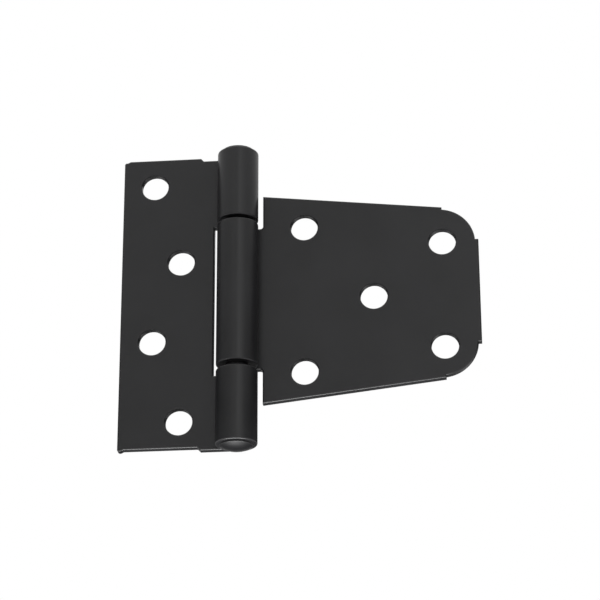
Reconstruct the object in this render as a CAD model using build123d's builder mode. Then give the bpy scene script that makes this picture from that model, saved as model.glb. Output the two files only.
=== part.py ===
from build123d import *
from math import asin, isclose, radians, tan
import os

# Heavy gate hinge in millimetres, at rest with both leaves in one plane.
# The pin stands on +Z through the origin, at mid height. The post leaf reaches to -X,
# the gate leaf to +X, and both lie against their timber with the face that looks to +Y.

# Sheet and pin
sheet = 2.65                  # thickness of both leaves
pin_diameter = 6.35
running_clearance = 0.05      # pin to knuckle bore, on the radius
edge_break = 0.3              # bevel of every sheared edge

# Barrel: two end knuckles of the post leaf and the middle knuckle of the gate leaf
top_knuckle_length = 21.5
bottom_knuckle_length = 21.9
upper_play = 0.95             # middle knuckle to the top one, as the gate leaf rests
lower_play = 1.4              # and to the bottom one
seam_gap = 0.35               # free end of a roll to the face of its leaf

# Pin heads: one formed on the rod above, one peened over the bottom knuckle
head_diameter = 9.4
head_rim = 0.7
head_height = 1.95
peened_rim = 0.4
peened_height = 1.5

# Post leaf, parted from a strip by a stepped cut whose middle stands up
post_reach = 33.85            # pin axis to outer edge
post_height = 88.9            # from one parting cut to the next
slot_width = 1.25             # barrel to the leaf's inner edge, beside the middle knuckle
inner_step = 0.85             # middle of the cut above its inner end
outer_step = 0.4              # and above its outer end
step_run = 0.8                # length of each step's slope
inner_margin = 3.4            # slot to the inner step
outer_margin = 0.9            # outer edge to the outer step
post_corner = 0.6             # rounding of the two outer corners

# Gate leaf
gate_reach = 68.45            # pin axis to far edge
root_height = 63.5
root_gap = 1.0                # barrel to the leaf's near edge, beside the end knuckles
root_fillet = 0.8
taper = 6.4                   # degrees, of the top and bottom edges
far_edge_height = 31.3        # straight part of the far edge
corner_width = 10.2           # far edge to where the rounded corner begins
corner_step = 0.7             # the corner's bite below the tapered edge
far_step = 0.95               # and in from the far edge

# Screw holes
screw_hole = 7.7
post_end_margin = 8.2         # first and last hole to the post leaf's ends
post_edge_margin = 9.15       # outer column to the post leaf's outer edge
post_stagger = 8.0            # outer column to inner column
post_holes_rise = 0.35        # pattern above the middle of the leaf's inner ends
near_column = 18.75           # pin axis to the gate leaf's first pair
near_end_margin = 9.7         # that pair to the ends of the root
far_edge_margin = 10.3        # second pair to the far edge
far_pair_spacing = 31.7
gate_holes_drop = 0.65        # pattern below the middle of the gate leaf

# Worked out from the sizes above
bore_radius = pin_diameter / 2 + running_clearance
barrel_radius = bore_radius + sheet
barrel_half = post_height / 2
slot_top = barrel_half - top_knuckle_length
slot_foot = bottom_knuckle_length - barrel_half
middle_half = (slot_top - upper_play - slot_foot - lower_play) / 2
gate_rise = slot_top - upper_play - middle_half
seam_angle = asin((bore_radius - seam_gap) / barrel_radius)
back_plane = Plane.XZ.offset(-barrel_radius)
gate_plane = back_plane.shift_origin((0, barrel_radius, gate_rise))


def roll_section(side):
    """Section of a knuckle: the sheet leaves the back plane at X = 0 and rolls round the pin.

    It goes round the side away from its leaf and across the front, and ends seam_gap short of
    the leaf's face. side is the direction its leaf lies in, 1 for +X and -1 for -X.
    """
    start = 90
    sweep = side * (270 + seam_angle / radians(1))
    with BuildSketch() as section:
        with BuildLine():
            outside = CenterArc((0, 0), barrel_radius, start, sweep)
            inside = CenterArc((0, 0), bore_radius, start, sweep)
            Line(outside @ 0, inside @ 0)
            Line(outside @ 1, inside @ 1)
        make_face()
    return section.sketch


def sheared_edges(leaf, side):
    """Edges round a leaf's flat faces and round its knuckles' ends.

    The lines at X = 0, where the flat runs into the roll, are tangent and stay out.
    """
    flats = leaf.faces().filter_by(Axis.Y).edges()
    outline = flats.filter_by(lambda edge: side * edge.center().X > edge_break)
    arcs = leaf.edges().filter_by(GeomType.CIRCLE)
    rims = arcs.filter_by(lambda arc: isclose(arc.radius, barrel_radius, rel_tol=1e-6))
    return outline + rims


# Post leaf
slot_x = barrel_radius + slot_width
outer_column = post_reach - post_edge_margin
inner_column = outer_column - post_stagger
row_pitch = (post_height - 2 * post_end_margin) / 3
first_row = post_end_margin - barrel_half + post_holes_rise
post_holes = [
    (-inner_column, first_row),
    (-outer_column, first_row + row_pitch),
    (-inner_column, first_row + 2 * row_pitch),
    (-outer_column, first_row + 3 * row_pitch),
]


def parting_cut(inner_end):
    """Points of the cut across the strip, from the slot's side to the outer edge."""
    middle = inner_end + inner_step
    inner_x = slot_x + inner_margin
    outer_x = post_reach - outer_margin
    return [
        (-inner_x, inner_end),
        (-inner_x - step_run, middle),
        (-outer_x + step_run, middle),
        (-outer_x, middle - outer_step),
        (-post_reach, middle - outer_step),
    ]


with BuildPart() as post_leaf:
    with BuildSketch(back_plane) as blank:
        with BuildLine():
            Polyline(
                (0, barrel_half),
                *parting_cut(barrel_half),
                *reversed(parting_cut(-barrel_half)),
                (0, -barrel_half),
                (0, slot_foot),
                (-slot_x, slot_foot),
                (-slot_x, slot_top),
                (0, slot_top),
                close=True,
            )
        make_face()
        fillet(blank.vertices().group_by(Axis.X)[0], post_corner)
        with Locations(post_holes):
            Circle(screw_hole / 2, mode=Mode.SUBTRACT)
    extrude(amount=sheet)
    for foot, length in ((slot_top, top_knuckle_length), (-barrel_half, bottom_knuckle_length)):
        with BuildSketch(Plane.XY.offset(foot)):
            add(roll_section(-1))
        extrude(amount=length)
    chamfer(sheared_edges(post_leaf, -1), edge_break)
post_leaf.part.label = "post_leaf"

# Gate leaf
root_x = barrel_radius + root_gap
root_half = root_height / 2
far_half = far_edge_height / 2
taper_slope = tan(radians(taper))
corner_x = gate_reach - corner_width
corner_z = root_half - (corner_x - root_x) * taper_slope
far_column = gate_reach - far_edge_margin
near_row = root_half - near_end_margin
far_row = far_pair_spacing / 2
gate_holes = [
    (near_column, near_row),
    (near_column, -near_row),
    ((near_column + far_column) / 2, 0),
    (far_column, far_row),
    (far_column, -far_row),
]
holes_place = Pos(0, -gate_holes_drop)

with BuildPart() as gate_leaf:
    with BuildSketch(gate_plane) as blank:
        with BuildLine():
            top_edge = Polyline(
                (0, 0),
                (0, middle_half),
                (root_x, middle_half),
                (root_x, root_half),
                (corner_x, corner_z),
                (corner_x, corner_z - corner_step),
            )
            corner = TangentArc(
                top_edge @ 1,
                (gate_reach - far_step, far_half),
                tangent=(1, -taper_slope),
            )
            Polyline(corner @ 1, (gate_reach, far_half), (gate_reach, 0), (0, 0))
        make_face()
        mirror(about=Plane.XZ)
        inner_corners = blank.vertices().filter_by_position(Axis.X, root_x, root_x)
        fillet(inner_corners.sort_by(Axis.Y)[1:-1], root_fillet)
        with Locations(holes_place):
            with Locations(gate_holes):
                Circle(screw_hole / 2, mode=Mode.SUBTRACT)
    extrude(amount=sheet)
    with BuildSketch(Plane.XY.offset(gate_rise - middle_half)):
        add(roll_section(1))
    extrude(amount=2 * middle_half)
    chamfer(sheared_edges(gate_leaf, 1), edge_break)
gate_leaf.part.label = "gate_leaf"

# Hinge pin
with BuildPart() as hinge_pin:
    for end, rim, height in ((1, head_rim, head_height), (-1, peened_rim, peened_height)):
        with BuildSketch(Plane.XZ):
            with BuildLine():
                shank = Polyline(
                    (0, 0),
                    (pin_diameter / 2, 0),
                    (pin_diameter / 2, end * barrel_half),
                    (head_diameter / 2, end * barrel_half),
                    (head_diameter / 2, end * (barrel_half + rim)),
                )
                dome = TangentArc(
                    (0, end * (barrel_half + height)),
                    shank @ 1,
                    tangent=(1, 0),
                )
                Line(dome @ 0, (0, 0))
            make_face()
        revolve(axis=Axis.Z)
hinge_pin.part.label = "hinge_pin"

os.makedirs("parts", exist_ok=True)
for piece in (post_leaf, gate_leaf, hinge_pin):
    export_step(piece.part, f"parts/{piece.part.label}.step")
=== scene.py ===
import math

import bmesh
import bpy
import numpy as np
from mathutils import Matrix, Vector


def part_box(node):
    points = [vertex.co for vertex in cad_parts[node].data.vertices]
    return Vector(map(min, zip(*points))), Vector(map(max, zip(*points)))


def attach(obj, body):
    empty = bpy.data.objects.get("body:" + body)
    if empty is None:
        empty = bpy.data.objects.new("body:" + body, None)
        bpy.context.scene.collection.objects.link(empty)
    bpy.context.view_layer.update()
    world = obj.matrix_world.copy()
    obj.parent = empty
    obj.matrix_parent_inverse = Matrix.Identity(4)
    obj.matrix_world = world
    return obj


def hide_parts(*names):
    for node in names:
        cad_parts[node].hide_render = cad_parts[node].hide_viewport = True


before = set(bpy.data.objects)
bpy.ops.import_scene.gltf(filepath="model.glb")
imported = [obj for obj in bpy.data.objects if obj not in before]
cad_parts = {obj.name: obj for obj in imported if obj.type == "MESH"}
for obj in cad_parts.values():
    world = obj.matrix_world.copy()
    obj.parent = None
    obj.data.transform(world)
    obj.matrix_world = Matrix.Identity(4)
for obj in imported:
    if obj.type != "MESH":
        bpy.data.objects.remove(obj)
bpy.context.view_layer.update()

# %% [markdown]
# # A black gate hinge
# The real hinge is two stamped steel leaves, rolled round one riveted pin and then powder coated.
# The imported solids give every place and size. This lesson makes the two leaves again the way the
# works makes them, flat blank first and roll second, because that gives the soft coated edges that
# a plain solid lacks. Then it adds the coat, the stage, the light and the camera.

# %% What was loaded
MM = 0.001
for name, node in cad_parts.items():
    low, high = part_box(name)
    size = [round((b - a) / MM, 2) for a, b in zip(low, high)]
    print("solid", name, size, "mm")

# %% [markdown]
# ## Sizes of the hinge
# The same sizes as the solids have, in millimetres. The pin stands on Z through the origin, the
# post leaf reaches to -X and the gate leaf to +X, and the backs of both leaves look to +Y.

# %% Sheet, pin and barrel
SHEET = 2.65
BORE_RADIUS = 3.225
BARREL_RADIUS = BORE_RADIUS + SHEET
BARREL_HALF = 44.45
SLOT_TOP = 22.95
SLOT_FOOT = -22.55
MIDDLE_HALF = 21.575
GATE_RISE = 0.425
SEAM_GAP = 0.35
EDGE_ROUND = 0.48
SEAM_ANGLE = math.asin((BORE_RADIUS - SEAM_GAP) / BARREL_RADIUS)
ROLL_ANGLE = math.radians(270) + SEAM_ANGLE
BEND_RADIUS = BORE_RADIUS + SHEET / 2
ROLL_LENGTH = BEND_RADIUS * ROLL_ANGLE
SCREW_HOLE = 7.7

# %% Post leaf
POST_REACH = 33.85
SLOT_WIDTH = 1.25
INNER_STEP = 0.85
OUTER_STEP = 0.4
STEP_RUN = 0.8
INNER_MARGIN = 3.4
OUTER_MARGIN = 0.9
POST_CORNER = 0.6
INNER_COLUMN = 16.7
OUTER_COLUMN = 24.7
FIRST_ROW = -35.9
ROW_PITCH = 72.5 / 3
SLOT_X = BARREL_RADIUS + SLOT_WIDTH
INNER_STEP_X = SLOT_X + INNER_MARGIN
OUTER_STEP_X = POST_REACH - OUTER_MARGIN

# %% Gate leaf
GATE_REACH = 68.45
ROOT_GAP = 1.0
ROOT_HALF = 31.75
ROOT_FILLET = 0.8
TAPER = math.tan(math.radians(6.4))
CORNER_WIDTH = 10.2
CORNER_STEP = 0.7
FAR_HALF = 15.65
FAR_STEP = 0.95
NEAR_COLUMN, NEAR_ROW = 18.75, 22.05
FAR_COLUMN, FAR_ROW = 58.15, 15.85
MIDDLE_COLUMN = (NEAR_COLUMN + FAR_COLUMN) / 2
HOLES_DROP = 0.65
ROOT_X = BARREL_RADIUS + ROOT_GAP
CORNER_X = GATE_REACH - CORNER_WIDTH
CORNER_Z = ROOT_HALF - (CORNER_X - ROOT_X) * TAPER

# %% [markdown]
# ## Drawing an outline
# A stamped edge is straight runs, a few small radii and one wide arc on each gate corner. Points
# are plain pairs, u along the leaf away from the pin and v up. Two helpers are enough: one rounds a
# corner, the other draws an arc that leaves a point in a given direction and ends at another.

# %% Helpers for corners and arcs
ARC_STEP = math.radians(4)
FEWEST_STEPS = 3


def arc_points(centre, radius, start, end):
    count = max(FEWEST_STEPS, round(abs(end - start) / ARC_STEP))
    angles = [start + (end - start) * i / count for i in range(count + 1)]
    return [centre + Vector((math.cos(a), math.sin(a))) * radius for a in angles]


def rounded_corner(before, corner, after, radius):
    back, ahead = (before - corner).normalized(), (after - corner).normalized()
    half = back.angle(ahead) / 2
    centre = corner + (back + ahead).normalized() * (radius / math.sin(half))
    reach = radius / math.tan(half)
    first, last = corner + back * reach - centre, corner + ahead * reach - centre
    start = math.atan2(first.y, first.x)
    turn = math.remainder(math.atan2(last.y, last.x) - start, math.tau)
    return arc_points(centre, radius, start, start + turn)


def tangent_arc(start, direction, end):
    normal = Vector((direction.y, -direction.x)).normalized()
    chord = end - start
    radius = chord.length_squared / (2 * chord.dot(normal))
    centre = start + normal * radius
    first, last = start - centre, end - centre
    angle = math.atan2(first.y, first.x)
    turn = math.remainder(math.atan2(last.y, last.x) - angle, math.tau)
    return arc_points(centre, radius, angle, angle + turn)


def hole_points(u, v):
    return arc_points(Vector((u, v)), SCREW_HOLE / 2, 0, math.tau)[:-1]


# %% [markdown]
# ## The post leaf's blank
# It was parted from a strip, so its top and bottom edges are copies of one stepped cut. The two
# tongues at u below zero are what the knuckles are rolled from. The slot between them is where the
# gate leaf's knuckle goes.

# %% Outline of the post leaf
def parting_cut(inner_end):
    middle = inner_end + INNER_STEP
    return [
        Vector((INNER_STEP_X, inner_end)),
        Vector((INNER_STEP_X + STEP_RUN, middle)),
        Vector((OUTER_STEP_X - STEP_RUN, middle)),
        Vector((OUTER_STEP_X, middle - OUTER_STEP)),
    ]


def post_outline():
    drop = INNER_STEP - OUTER_STEP
    top_corner = Vector((POST_REACH, BARREL_HALF + drop))
    foot_corner = Vector((POST_REACH, drop - BARREL_HALF))
    top, foot = parting_cut(BARREL_HALF), parting_cut(-BARREL_HALF)
    return [
        Vector((-ROLL_LENGTH, SLOT_TOP)),
        Vector((-ROLL_LENGTH, BARREL_HALF)),
        *top,
        *rounded_corner(top[-1], top_corner, foot_corner, POST_CORNER),
        *rounded_corner(top_corner, foot_corner, foot[-1], POST_CORNER),
        *reversed(foot),
        Vector((-ROLL_LENGTH, -BARREL_HALF)),
        Vector((-ROLL_LENGTH, SLOT_FOOT)),
        Vector((SLOT_X, SLOT_FOOT)),
        Vector((SLOT_X, SLOT_TOP)),
    ]


post_columns = (INNER_COLUMN, OUTER_COLUMN) * 2
post_holes = [hole_points(u, FIRST_ROW + ROW_PITCH * i) for i, u in enumerate(post_columns)]
print("post outline", len(post_outline()), "points,", len(post_holes), "holes")

# %% [markdown]
# ## The gate leaf's blank
# One tongue this time, as wide as the middle knuckle. The tapered edges stop at a small step where
# the corner punch took its bite, and the wide arc ends at a second step beside the far edge.

# %% Outline of the gate leaf
def gate_upper_half():
    tongue = Vector((ROOT_X, MIDDLE_HALF))
    root_top = Vector((ROOT_X, ROOT_HALF))
    bite = Vector((CORNER_X, CORNER_Z - CORNER_STEP))
    far = Vector((GATE_REACH - FAR_STEP, FAR_HALF))
    return [
        Vector((-ROLL_LENGTH, MIDDLE_HALF)),
        *rounded_corner(Vector((0, MIDDLE_HALF)), tongue, root_top, ROOT_FILLET),
        root_top,
        Vector((CORNER_X, CORNER_Z)),
        *tangent_arc(bite, Vector((1, -TAPER)), far),
        Vector((GATE_REACH, FAR_HALF)),
    ]


def gate_outline():
    upper = gate_upper_half()
    lower = [Vector((p.x, -p.y)) for p in reversed(upper)]
    return [p + Vector((0, GATE_RISE)) for p in upper + lower]


gate_pattern = [
    (NEAR_COLUMN, NEAR_ROW),
    (NEAR_COLUMN, -NEAR_ROW),
    (MIDDLE_COLUMN, 0),
    (FAR_COLUMN, FAR_ROW),
    (FAR_COLUMN, -FAR_ROW),
]
gate_holes = [hole_points(u, v + GATE_RISE - HOLES_DROP) for u, v in gate_pattern]
print("gate outline", len(gate_outline()), "points,", len(gate_holes), "holes")

# %% [markdown]
# ## From outline to coated plate
# A flat curve can be filled, thickened and given a round edge in one go: its fill keeps the holes
# open, extrude gives the thickness and the bevel the radius that the coat leaves on a sheared edge.
# The tongues need lines across them before they can bend, so the plate is cut every few degrees
# of the roll to come.

# %% Plate from outline and holes
ROUND_STEPS = 3
ROLL_CUTS = 96
WELD = 1e-4


def add_loop(curve, points):
    spline = curve.splines.new("POLY")
    spline.points.add(len(points) - 1)
    spline.points.foreach_set("co", [c for p in points for c in (p.x, p.y, 0, 1)])
    spline.use_cyclic_u = True


def coated_plate(name, outline, holes):
    curve = bpy.data.curves.new(name, "CURVE")
    curve.dimensions = "2D"
    curve.fill_mode = "BOTH"
    curve.extrude = SHEET / 2 - EDGE_ROUND
    curve.bevel_depth = EDGE_ROUND
    curve.bevel_resolution = ROUND_STEPS
    curve.offset = -EDGE_ROUND
    for points in (outline, *holes):
        add_loop(curve, points)
    drawn = bpy.data.objects.new(name, curve)
    bpy.context.scene.collection.objects.link(drawn)
    evaluated = drawn.evaluated_get(bpy.context.evaluated_depsgraph_get())
    plate = bpy.data.meshes.new_from_object(evaluated)
    bpy.data.objects.remove(drawn)
    bpy.data.curves.remove(curve)
    return plate


def cut_tongues(plate):
    work = bmesh.new()
    work.from_mesh(plate)
    bmesh.ops.remove_doubles(work, verts=work.verts, dist=WELD)
    bmesh.ops.recalc_face_normals(work, faces=work.faces)
    for i in range(ROLL_CUTS):
        place = Vector((-ROLL_LENGTH * i / ROLL_CUTS, 0, 0))
        geometry = work.verts[:] + work.edges[:] + work.faces[:]
        bmesh.ops.bisect_plane(work, geom=geometry, dist=WELD, plane_co=place, plane_no=(1, 0, 0))
    open_edges = sum(not e.is_manifold for e in work.edges)
    work.to_mesh(plate)
    work.free()
    return open_edges


post_plate = coated_plate("post_plate", post_outline(), post_holes)
gate_plate = coated_plate("gate_plate", gate_outline(), gate_holes)
for plate in (post_plate, gate_plate):
    open_edges = cut_tongues(plate)
    print(plate.name, len(plate.vertices), "vertices, open edges:", open_edges)

# %% [markdown]
# ## Normals that know the shape
# A wide flat face next to a tiny rounded edge shades badly when the two share averaged normals. The
# shape follows a rule, so the exact normals do too: a point's height in the sheet says how far round
# the edge it is, and only the direction along the plate is taken from the mesh. The same height
# gives a point attribute, rim, which is 1 in the middle of a rounded edge and 0 off it.

# %% Exact normals of the flat plate
SHARP = ARC_STEP * 1.5
TINY = 1e-6


def plate_normals(plate):
    plate.shade_smooth()
    plate.set_sharp_from_angle(angle=SHARP)
    count = len(plate.loops)
    normals = np.empty(count * 3, np.float32)
    plate.corner_normals.foreach_get("vector", normals)
    normals = normals.reshape(-1, 3)
    corners = np.empty(count, np.int32)
    plate.loops.foreach_get("vertex_index", corners)
    points = np.empty(len(plate.vertices) * 3, np.float32)
    plate.vertices.foreach_get("co", points)
    height = points.reshape(-1, 3)[:, 2]
    over_edge = np.clip((np.abs(height) - (SHEET / 2 - EDGE_ROUND)) / EDGE_ROUND, 0, 1)
    rim = plate.attributes.new("rim", "FLOAT", "POINT")
    rim.data.foreach_set("value", 4 * over_edge * (1 - over_edge))
    upright = (over_edge * np.sign(height))[corners]
    level = normals[:, :2]
    length = np.linalg.norm(level, axis=1, keepdims=True)
    level = level / np.maximum(length, TINY) * np.sqrt(1 - upright**2)[:, None]
    return np.column_stack([level, upright])


flat_normals = {"post": plate_normals(post_plate), "gate": plate_normals(gate_plate)}
print("normals:", {k: v.shape[0] for k, v in flat_normals.items()})

# %% [markdown]
# ## Rolling the knuckles
# On the real leaf a tool curls the tongue round a mandrel. The rule is short: a point that lies a
# distance past the bend line turns by that distance over the bend radius, at its own distance from
# the pin. A Geometry Nodes tree with three inputs says it once for both leaves, and every point of
# the flat part passes through it unchanged, because its angle is zero.

# %% The rolling tree
def add_math(tree, operation, *values):
    node = tree.nodes.new("ShaderNodeMath")
    node.operation = operation
    for socket, value in zip(node.inputs, values):
        if isinstance(value, (int, float)):
            socket.default_value = value
        else:
            tree.links.new(value, socket)
    return node.outputs[0]


def rolling_tree():
    tree = bpy.data.node_groups.new("roll_the_tongue", "GeometryNodeTree")
    sockets = tree.interface
    sockets.new_socket("Geometry", in_out="INPUT", socket_type="NodeSocketGeometry")
    sockets.new_socket("Side", in_out="INPUT", socket_type="NodeSocketFloat")
    sockets.new_socket("Bend radius", in_out="INPUT", socket_type="NodeSocketFloat")
    sockets.new_socket("Coat", in_out="INPUT", socket_type="NodeSocketMaterial")
    sockets.new_socket("Geometry", in_out="OUTPUT", socket_type="NodeSocketGeometry")
    given = tree.nodes.new("NodeGroupInput")
    result = tree.nodes.new("NodeGroupOutput")
    place = tree.nodes.new("GeometryNodeInputPosition")
    split = tree.nodes.new("ShaderNodeSeparateXYZ")
    tree.links.new(place.outputs["Position"], split.inputs["Vector"])
    along, across, height = split.outputs
    past = add_math(tree, "MAXIMUM", add_math(tree, "MULTIPLY", along, -1.0), 0.0)
    kept = add_math(tree, "MAXIMUM", along, 0.0)
    angle = add_math(tree, "DIVIDE", past, given.outputs["Bend radius"])
    depth = add_math(tree, "MULTIPLY", height, given.outputs["Side"])
    radius = add_math(tree, "SUBTRACT", given.outputs["Bend radius"], depth)
    swung = add_math(tree, "MULTIPLY", radius, add_math(tree, "SINE", angle))
    out_x = add_math(tree, "SUBTRACT", kept, swung)
    signed_x = add_math(tree, "MULTIPLY", out_x, given.outputs["Side"])
    out_y = add_math(tree, "MULTIPLY", radius, add_math(tree, "COSINE", angle))
    joined = tree.nodes.new("ShaderNodeCombineXYZ")
    for value, axis in zip((signed_x, out_y, across), "XYZ"):
        tree.links.new(value, joined.inputs[axis])
    move = tree.nodes.new("GeometryNodeSetPosition")
    real = tree.nodes.new("GeometryNodeRealizeInstances")
    paint = tree.nodes.new("GeometryNodeSetMaterial")
    tree.links.new(given.outputs["Geometry"], move.inputs["Geometry"])
    tree.links.new(joined.outputs["Vector"], move.inputs["Position"])
    tree.links.new(move.outputs["Geometry"], real.inputs["Geometry"])
    tree.links.new(real.outputs["Geometry"], paint.inputs["Geometry"])
    tree.links.new(given.outputs["Coat"], paint.inputs["Material"])
    tree.links.new(paint.outputs["Geometry"], result.inputs["Geometry"])
    return tree


roll_tree = rolling_tree()
print("tree", roll_tree.name, "with", len(roll_tree.nodes), "nodes")

# %% [markdown]
# ## The powder coat
# Satin powder coat is nearly black itself, and what the eye sees is the sheen on it. A new hinge has
# hardly any wear, so the finish is in three small things: the melted powder leaves a low orange
# peel, the gloss changes a little from place to place, and on the rims, where the melt runs
# thinner, it is smoother and a shade lighter. That lighter colour is partly the thinner coat and
# partly a painted highlight, which makes every rounded edge show. All of it is noise on object
# coordinates, at real sizes. A colour Mix node has sockets of one name for each kind of value, so
# its colour sockets are picked by number.

# %% Powder coat
COAT_DARK = (0.0062, 0.0062, 0.0069, 1)
COAT_PALE = (0.0084, 0.0084, 0.0094, 1)
# Rim colour: partly a thinner coat, partly a painted highlight on every rounded edge.
RIM_COLOUR = (0.016, 0.016, 0.0175, 1)
COAT_IOR = 1.46
CLOUD_SIZE, CLOUD_DETAIL = 14 * MM, 3
PEEL_SIZE, PEEL_DETAIL = 1.3 * MM, 1
GRAIN_SIZE, GRAIN_DETAIL = 0.3 * MM, 2
CLOUD_SPAN = (0.35, 0.65)
PEEL_HEIGHT = 0.006 * MM
GRAIN_HEIGHT = 0.001 * MM
ROUGHNESS_RANGE = (0.335, 0.385)
RIM_SMOOTHER = -0.05
MIX_FIRST, MIX_SECOND, MIX_RESULT = 6, 7, 2


def add_noise(tree, place, size, detail):
    noise = tree.nodes.new("ShaderNodeTexNoise")
    noise.inputs["Scale"].default_value = 1 / size
    noise.inputs["Detail"].default_value = detail
    tree.links.new(place, noise.inputs["Vector"])
    return noise.outputs["Fac"]


def add_range(tree, value, source, target):
    span = tree.nodes.new("ShaderNodeMapRange")
    numbers = (*source, *target)
    for socket, number in zip(("From Min", "From Max", "To Min", "To Max"), numbers):
        span.inputs[socket].default_value = number
    tree.links.new(value, span.inputs["Value"])
    return span.outputs["Result"]


def add_blend(tree, share, first, second):
    blend = tree.nodes.new("ShaderNodeMix")
    blend.data_type = "RGBA"
    tree.links.new(share, blend.inputs["Factor"])
    for index, colour in ((MIX_FIRST, first), (MIX_SECOND, second)):
        socket = blend.inputs[index]
        if isinstance(colour, tuple):
            socket.default_value = colour
        else:
            tree.links.new(colour, socket)
    return blend.outputs[MIX_RESULT]


def add_bump(tree, height, distance, below=None):
    bump = tree.nodes.new("ShaderNodeBump")
    bump.inputs["Distance"].default_value = distance
    tree.links.new(height, bump.inputs["Height"])
    if below is not None:
        tree.links.new(below, bump.inputs["Normal"])
    return bump.outputs["Normal"]


def powder_coat(name, roughness_range, peel_height):
    material = bpy.data.materials.new(name)
    material.use_nodes = True
    tree = material.node_tree
    shader = tree.nodes["Principled BSDF"]
    shader.inputs["IOR"].default_value = COAT_IOR
    place = tree.nodes.new("ShaderNodeTexCoord").outputs["Object"]
    rim = tree.nodes.new("ShaderNodeAttribute")
    rim.attribute_name = "rim"

    clouds = add_noise(tree, place, CLOUD_SIZE, CLOUD_DETAIL)
    peel = add_noise(tree, place, PEEL_SIZE, PEEL_DETAIL)
    grain = add_noise(tree, place, GRAIN_SIZE, GRAIN_DETAIL)
    patches = add_range(tree, clouds, CLOUD_SPAN, (0, 1))
    # Painted highlight together with a thinner coat: rims a shade lighter, broken up by the clouds.
    thin_coat_and_highlight = add_math(tree, "MULTIPLY", rim.outputs["Fac"], patches)

    colour = add_blend(tree, patches, COAT_DARK, COAT_PALE)
    colour = add_blend(tree, thin_coat_and_highlight, colour, RIM_COLOUR)
    tree.links.new(colour, shader.inputs["Base Color"])
    dull = add_range(tree, clouds, CLOUD_SPAN, roughness_range)
    dull = add_math(tree, "ADD", dull, add_math(tree, "MULTIPLY", rim.outputs["Fac"], RIM_SMOOTHER))
    tree.links.new(dull, shader.inputs["Roughness"])
    normal = add_bump(tree, peel, peel_height)
    normal = add_bump(tree, grain, GRAIN_HEIGHT, normal)
    tree.links.new(normal, shader.inputs["Normal"])
    return material


coat = powder_coat("black_coat", ROUGHNESS_RANGE, PEEL_HEIGHT)
print("coat", coat.name, "with", len(coat.node_tree.nodes), "nodes")

# %% [markdown]
# ## The two leaves
# The modifier's inputs are set by identifier, the evaluated result becomes a plain mesh in metres,
# and the flat plate's exact normals are turned through each point's own angle of roll.

# %% Rolled leaves
def set_input(modifier, tree, name, value):
    for item in tree.interface.items_tree:
        if item.item_type == "SOCKET" and item.in_out == "INPUT" and item.name == name:
            modifier[item.identifier] = value


def rolled_normals(plate, normals, side):
    corners = np.empty(len(plate.loops), np.int32)
    plate.loops.foreach_get("vertex_index", corners)
    points = np.empty(len(plate.vertices) * 3, np.float32)
    plate.vertices.foreach_get("co", points)
    along = points.reshape(-1, 3)[corners, 0]
    angle = np.maximum(-along, 0) / BEND_RADIUS
    level, across, upright = normals.T
    outward = -upright * side
    turned_x = side * (level * np.cos(angle) - outward * np.sin(angle))
    turned_y = outward * np.cos(angle) + level * np.sin(angle)
    return np.column_stack([turned_x, turned_y, across])


def rolled_leaf(name, plate, normals, side):
    piece = bpy.data.objects.new(name, plate)
    bpy.context.scene.collection.objects.link(piece)
    modifier = piece.modifiers.new("roll", "NODES")
    modifier.node_group = roll_tree
    set_input(modifier, roll_tree, "Side", float(side))
    set_input(modifier, roll_tree, "Bend radius", BEND_RADIUS)
    set_input(modifier, roll_tree, "Coat", coat)
    evaluated = piece.evaluated_get(bpy.context.evaluated_depsgraph_get())
    leaf = bpy.data.meshes.new_from_object(evaluated)
    custom = rolled_normals(plate, normals, side)
    piece.modifiers.clear()
    piece.data = leaf
    bpy.data.meshes.remove(plate)
    leaf.name = name
    leaf.transform(Matrix.Scale(MM, 4))
    leaf.normals_split_custom_set(custom.tolist())
    return piece


post_piece = rolled_leaf("coated_post_leaf", post_plate, flat_normals["post"], -1)
gate_piece = rolled_leaf("coated_gate_leaf", gate_plate, flat_normals["gate"], 1)
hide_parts("post_leaf")
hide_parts("gate_leaf")
for piece, body in ((post_piece, "post_side"), (gate_piece, "gate_side")):
    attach(piece, body)
    print(piece.name, "rides on", body, len(piece.data.polygons), "faces")

# %% [markdown]
# ## The pin
# A round rod with a head formed on its upper end and its lower end peened over, so it has one
# profile from pole to pole. A lathe is the natural way: the profile is drawn once and spun. The
# rims get the same soft corner as the sheet, and the domes are arcs that start level on the axis.
# Hammered steel is uneven, so the pin's coat has deeper waves than the sheet's. On so small a
# head the melt also draws smooth, which makes it a little glossier.

# %% Turned pin
PIN_RADIUS = 3.175
HEAD_RADIUS = 4.7
UPPER_HEAD = (0.7, 1.95)
LOWER_HEAD = (0.4, 1.5)
HEAD_ROUND = 0.18
HEAD_SHARP = math.radians(35)
SPIN_STEPS = 96
PIN_ROUGHNESS = (0.3, 0.34)
PIN_PEEL_HEIGHT = 0.012 * MM
pin_coat = powder_coat("peened_coat", PIN_ROUGHNESS, PIN_PEEL_HEIGHT)


def head_profile(rim, height):
    pole = Vector((0, BARREL_HALF + height))
    shoulder = Vector((HEAD_RADIUS, BARREL_HALF + rim))
    seat = Vector((HEAD_RADIUS, BARREL_HALF))
    dome = tangent_arc(pole, Vector((1, 0)), shoulder)
    return [
        *dome[:-2],
        *rounded_corner(dome[-3], shoulder, seat, HEAD_ROUND),
        seat,
        Vector((PIN_RADIUS, BARREL_HALF)),
    ]


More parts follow.
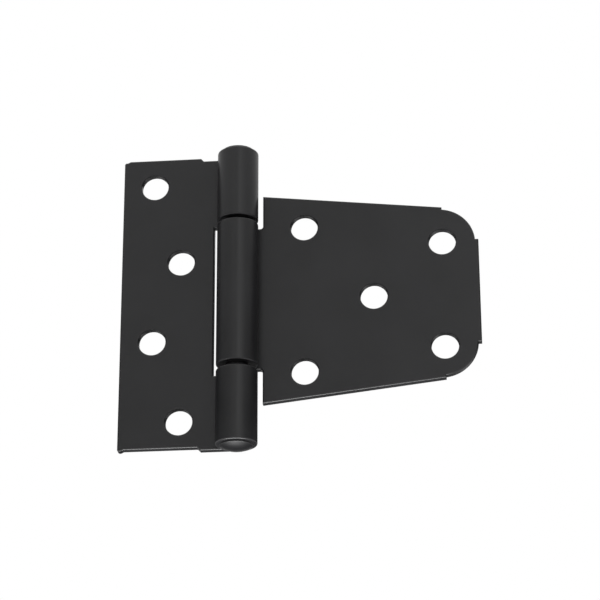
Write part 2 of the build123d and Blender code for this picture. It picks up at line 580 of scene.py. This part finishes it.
def turned_piece(name, profile):
    work = bmesh.new()
    points = [work.verts.new((p.x, 0, p.y)) for p in profile]
    edges = [work.edges.new(pair) for pair in zip(points, points[1:])]
    bmesh.ops.spin(
        work, geom=points + edges, cent=(0, 0, 0), axis=(0, 0, 1), angle=math.tau, steps=SPIN_STEPS
    )
    bmesh.ops.remove_doubles(work, verts=work.verts, dist=WELD)
    bmesh.ops.recalc_face_normals(work, faces=work.faces)
    mesh = bpy.data.meshes.new(name)
    work.to_mesh(mesh)
    work.free()
    mesh.shade_smooth()
    mesh.set_sharp_from_angle(angle=HEAD_SHARP)
    mesh.transform(Matrix.Scale(MM, 4))
    mesh.materials.append(pin_coat)
    piece = bpy.data.objects.new(name, mesh)
    bpy.context.scene.collection.objects.link(piece)
    return piece


lower = [Vector((p.x, -p.y)) for p in reversed(head_profile(*LOWER_HEAD))]
pin_piece = turned_piece("coated_pin", head_profile(*UPPER_HEAD) + lower)
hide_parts("hinge_pin")
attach(pin_piece, "post_side")
print(pin_piece.name, len(pin_piece.data.polygons), "faces")

# %% [markdown]
# ## Stage and light
# A black satin part is lit by what it mirrors, so the light is a room more than a lamp: a plain
# white world all round, a pale floor, and a grey screen that stands round the part in an arc. The
# front of the arc is open, so the flat faces mirror the white, and the barrel's sides mirror the
# screen and fall off to dark. The screen ends two hands above the part, so the barrel's upper end
# mirrors the white over its top and stays lighter than the lower end.

# %% World and floor
FLOOR_Z = -0.36
FLOOR_HALF = 3.0
FLOOR_COLOUR = (0.85, 0.85, 0.85)
FLOOR_ROUGHNESS = 0.8

world = bpy.data.worlds.new("white_room")
bpy.context.scene.world = world
world.use_nodes = True
air = world.node_tree.nodes["Background"]
air.inputs["Color"].default_value = (1, 1, 1, 1)
air.inputs["Strength"].default_value = 1.0


def plain_material(name, colour, roughness):
    material = bpy.data.materials.new(name)
    material.use_nodes = True
    shader = material.node_tree.nodes["Principled BSDF"]
    shader.inputs["Base Color"].default_value = (*colour, 1)
    shader.inputs["Roughness"].default_value = roughness
    return material


def staged(name, points, faces, material):
    mesh = bpy.data.meshes.new(name)
    mesh.from_pydata(points, [], faces)
    mesh.materials.append(material)
    piece = bpy.data.objects.new(name, mesh)
    bpy.context.scene.collection.objects.link(piece)
    return piece


corners = [(-1, -1), (1, -1), (1, 1), (-1, 1)]
floor_points = [(x * FLOOR_HALF, y * FLOOR_HALF, FLOOR_Z) for x, y in corners]
pale = plain_material("pale_floor", FLOOR_COLOUR, FLOOR_ROUGHNESS)
staged("floor", floor_points, [(0, 1, 2, 3)], pale)

# %% [markdown]
# ## The screens
# They work on mirrored light alone: the camera looks through them, and nothing gets a shadow of
# them. The round screen's grey falls with the distance behind the part, from half light in front
# of it to near black beside and behind. A narrow grey card stands where a photographer would, and
# a low card behind the part keeps the undersides dark. One cloth serves for all, with a colour
# ramp over one object coordinate.

# %% Grey cloth and walls on an arc
PANEL_STEP = math.radians(6)


def grey_cloth(name, axis, low, high, tones):
    material = bpy.data.materials.new(name)
    material.use_nodes = True
    tree = material.node_tree
    tree.nodes.clear()
    place = tree.nodes.new("ShaderNodeTexCoord")
    split = tree.nodes.new("ShaderNodeSeparateXYZ")
    ramp = tree.nodes.new("ShaderNodeValToRGB")
    cloth = tree.nodes.new("ShaderNodeBsdfDiffuse")
    output = tree.nodes.new("ShaderNodeOutputMaterial")
    stops = ramp.color_ramp.elements
    while len(stops) < len(tones):
        stops.new(0.5)
    for stop, (position, tone) in zip(stops, tones):
        stop.position = position
        stop.color = (tone, tone, tone, 1)
    tree.links.new(place.outputs["Object"], split.inputs["Vector"])
    share = add_range(tree, split.outputs[axis], (low, high), (0, 1))
    tree.links.new(share, ramp.inputs["Fac"])
    tree.links.new(ramp.outputs["Color"], cloth.inputs["Color"])
    tree.links.new(cloth.outputs["BSDF"], output.inputs["Surface"])
    return material


def mirrored_only(piece):
    piece.visible_camera = False
    piece.visible_diffuse = False
    piece.visible_shadow = False


def wall_on_arc(name, radius, first, last, low, high, material):
    panels = round((last - first) / PANEL_STEP)
    points = []
    for i in range(panels + 1):
        angle = first + (last - first) * i / panels
        x, y = math.sin(angle) * radius, -math.cos(angle) * radius
        points += [(x, y, low), (x, y, high)]
    faces = [(2 * i, 2 * i + 2, 2 * i + 3, 2 * i + 1) for i in range(panels)]
    mirrored_only(staged(name, points, faces, material))


# %% Round screen, open in front
SCREEN_RADIUS = 0.6
SCREEN_OPEN = math.radians(28)
SCREEN_TURN = math.radians(13)
SCREEN_LOW = -0.02
SCREEN_HIGH = 0.28
SCREEN_TONES = ((0.0, 0.5), (0.25, 0.2), (0.5, 0.06), (0.75, 0.04), (1.0, 0.03))

first, last = SCREEN_TURN + SCREEN_OPEN, SCREEN_TURN - SCREEN_OPEN + math.tau
falling = grey_cloth("falling_grey", "Y", -SCREEN_RADIUS, SCREEN_RADIUS, SCREEN_TONES)
wall_on_arc("round_screen", SCREEN_RADIUS, first, last, SCREEN_LOW, SCREEN_HIGH, falling)

# %% Card where the photographer stands
FRONT_CARD_HALF = math.radians(5)
FRONT_CARD_HIGH = 0.9
FRONT_CARD_TONES = ((0.0, 0.5), (1.0, 0.5))

even = grey_cloth("even_grey", "Z", SCREEN_LOW, FRONT_CARD_HIGH, FRONT_CARD_TONES)
first, last = -FRONT_CARD_HALF, FRONT_CARD_HALF
wall_on_arc("front_card", SCREEN_RADIUS, first, last, SCREEN_LOW, FRONT_CARD_HIGH, even)

# %% Low card behind
LOW_CARD_RADIUS = 0.25
LOW_CARD_MIDDLE = math.pi + math.radians(4)
LOW_CARD_HALF = math.radians(40)
LOW_CARD_FOOT = -0.35
LOW_CARD_TONES = ((0.0, 0.01), (0.65, 0.01), (0.78, 0.08), (0.88, 0.3), (1.0, 0.35))

rising = grey_cloth("rising_grey", "Z", LOW_CARD_FOOT, SCREEN_LOW, LOW_CARD_TONES)
first, last = LOW_CARD_MIDDLE - LOW_CARD_HALF, LOW_CARD_MIDDLE + LOW_CARD_HALF
wall_on_arc("low_card", LOW_CARD_RADIUS, first, last, LOW_CARD_FOOT, SCREEN_LOW, rising)

# %% [markdown]
# ## Two lamps
# A black part shows its lower edges only where something bright lies below it. That lamp stands
# straight under the leaves and mostly behind their front faces, so it draws a thin line along every
# rounded lower rim and hardly touches those faces. The second lamp is a narrow upright strip in
# the open front. It puts one soft line on the barrel, too far round for the leaves to mirror it.

# %% Lamps by size, place and brightness
def flat_lamp(name, place, aim, width, height, brightness):
    light = bpy.data.lights.new(name, "AREA")
    light.shape = "RECTANGLE"
    light.size = width
    light.size_y = height
    light.energy = brightness * math.pi * width * height
    lamp = bpy.data.objects.new(name, light)
    lamp.location = place
    lamp.rotation_euler = (aim - place).to_track_quat("-Z", "Y").to_euler()
    lamp.visible_camera = False
    bpy.context.scene.collection.objects.link(lamp)
    print(name, round(light.energy, 3), "W")


LOW_PLACE = Vector((-0.02, 0.03, -0.33))
LOW_AIM = Vector((-0.02, 0.03, 0))
LOW_WIDTH, LOW_DEPTH = 0.26, 0.072
LOW_BRIGHTNESS = 25
flat_lamp("low_lamp", LOW_PLACE, LOW_AIM, LOW_WIDTH, LOW_DEPTH, LOW_BRIGHTNESS)

STRIP_AZIMUTH = math.radians(16)
STRIP_ELEVATION = math.radians(24)
STRIP_DISTANCE = 0.8
STRIP_WIDTH, STRIP_HEIGHT = 0.05, 0.45
STRIP_BRIGHTNESS = 1.8
strip_place = Vector((
    math.sin(STRIP_AZIMUTH) * math.cos(STRIP_ELEVATION),
    -math.cos(STRIP_AZIMUTH) * math.cos(STRIP_ELEVATION),
    math.sin(STRIP_ELEVATION),
)) * STRIP_DISTANCE
flat_lamp("strip_lamp", strip_place, Vector(), STRIP_WIDTH, STRIP_HEIGHT, STRIP_BRIGHTNESS)

# %% [markdown]
# ## The camera
# It stands where the photographer did: in front, a little to the gate's side and well below the
# part, looking up. Its place, roll and focal length come from a fit to the holes and edges. They
# are written as angles and a distance from a target on the hinge, so each has a plain meaning.

# %% Camera
ELEVATION = math.radians(-22.47)
AZIMUTH = math.radians(5.4)
ROLL = math.radians(-0.238)
DISTANCE = 0.640
TARGET = Vector((17.806, 0, -2.034)) * MM
FOCAL_PIXELS = 2272.2
FRAME_PIXELS = 600
SENSOR = 36
CLIP_START = 0.01

toward = Vector((
    math.sin(AZIMUTH) * math.cos(ELEVATION),
    -math.cos(AZIMUTH) * math.cos(ELEVATION),
    math.sin(ELEVATION),
))
right = (-toward).cross(Vector((0, 0, 1))).normalized()
up = right.cross(-toward)
right_rolled = right * math.cos(ROLL) + up * math.sin(ROLL)
up_rolled = up * math.cos(ROLL) - right * math.sin(ROLL)
turn = Matrix((right_rolled, up_rolled, toward)).transposed()

lens = bpy.data.cameras.new("camera")
lens.sensor_width = SENSOR
lens.sensor_fit = "HORIZONTAL"
lens.lens = FOCAL_PIXELS / FRAME_PIXELS * SENSOR
lens.clip_start = CLIP_START
camera = bpy.data.objects.new("camera", lens)
bpy.context.scene.collection.objects.link(camera)
camera.matrix_world = Matrix.Translation(TARGET + toward * DISTANCE) @ turn.to_4x4()
bpy.context.scene.camera = camera
bpy.context.scene.view_settings.view_transform = "Standard"
